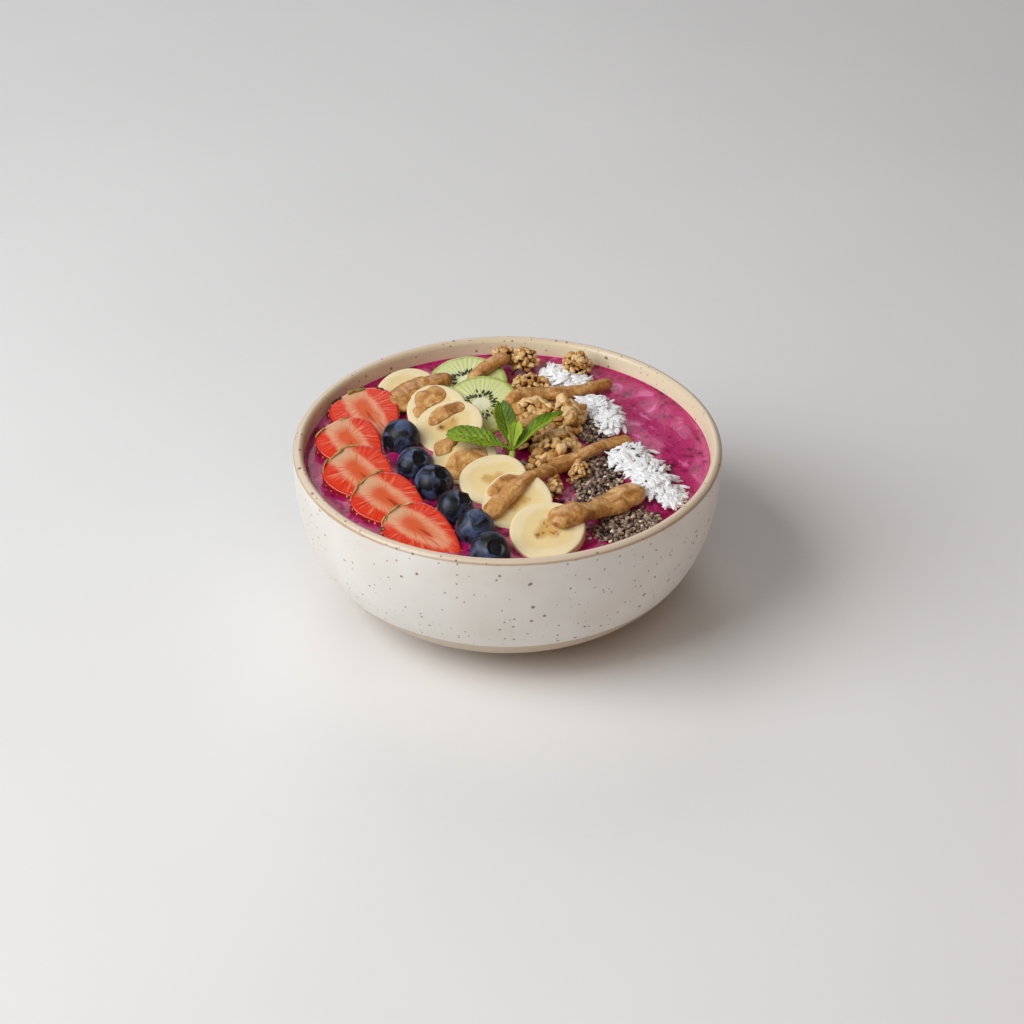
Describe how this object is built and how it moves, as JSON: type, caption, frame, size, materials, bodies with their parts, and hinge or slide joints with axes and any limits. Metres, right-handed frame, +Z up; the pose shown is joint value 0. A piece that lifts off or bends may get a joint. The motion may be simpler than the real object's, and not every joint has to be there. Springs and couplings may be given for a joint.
{
  "type": "acai bowl",
  "caption": "Round speckled stoneware bowl of pink acai smoothie, topped with fruit slices, berries, granola, chia seeds, coconut, nut butter and mint.",
  "frame": {"origin": "centre of the foot ring, on the table", "axes": "+Z up through the bowl's mouth, -Y towards the eater, +X to the eater's right"},
  "size_m": [0.16, 0.16, 0.0783],
  "materials": {
    "stoneware": "cream speckled glaze on stoneware, satin gloss, unglazed tan foot and rim edge",
    "smoothie": "thick frozen fruit smoothie, wet gloss",
    "strawberry": "cut strawberry, moist",
    "blueberry": "dark blue skin under a pale waxy bloom",
    "banana": "cut banana, slightly moist",
    "kiwi": "cut green kiwi, moist",
    "nut_butter": "thick smooth nut butter, soft gloss",
    "granola": "toasted oat clusters with a light honey glaze",
    "coconut": "dry shredded coconut",
    "chia": "dry chia seeds, black, brown and grey",
    "mint": "fresh mint leaf"
  },
  "bodies": {
    "root": {"banana_slice_1": "banana", "banana_slice_2": "banana", "banana_slice_3": "banana", "banana_slice_4": "banana", "banana_slice_5": "banana", "banana_slice_6": "banana", "banana_slice_7": "banana", "blueberry_1": "blueberry", "blueberry_2": "blueberry", "blueberry_3": "blueberry", "blueberry_4": "blueberry", "blueberry_5": "blueberry", "blueberry_6": "blueberry", "bowl": "stoneware", "chia_front": "chia", "chia_middle": "chia", "chia_rim": "chia", "coconut_back": "coconut", "coconut_front": "coconut", "coconut_middle": "coconut", "granola_back_middle": "granola", "granola_back_right": "granola", "granola_back_wall": "granola", "granola_behind_ribbon": "granola", "granola_by_banana": "granola", "granola_front_round": "granola", "granola_front_tall": "granola", "granola_heap": "granola", "kiwi_slice_1": "kiwi", "kiwi_slice_2": "kiwi", "mint_sprig": "mint", "nut_butter_back_kiwi": "nut_butter", "nut_butter_back_left": "nut_butter", "nut_butter_back_right": "nut_butter", "nut_butter_front_long": "nut_butter", "nut_butter_front_short": "nut_butter", "smoothie": "smoothie", "strawberry_slice_1": "strawberry", "strawberry_slice_2": "strawberry", "strawberry_slice_3": "strawberry", "strawberry_slice_4": "strawberry", "strawberry_slice_5": "strawberry"}
  },
  "joints": []
}
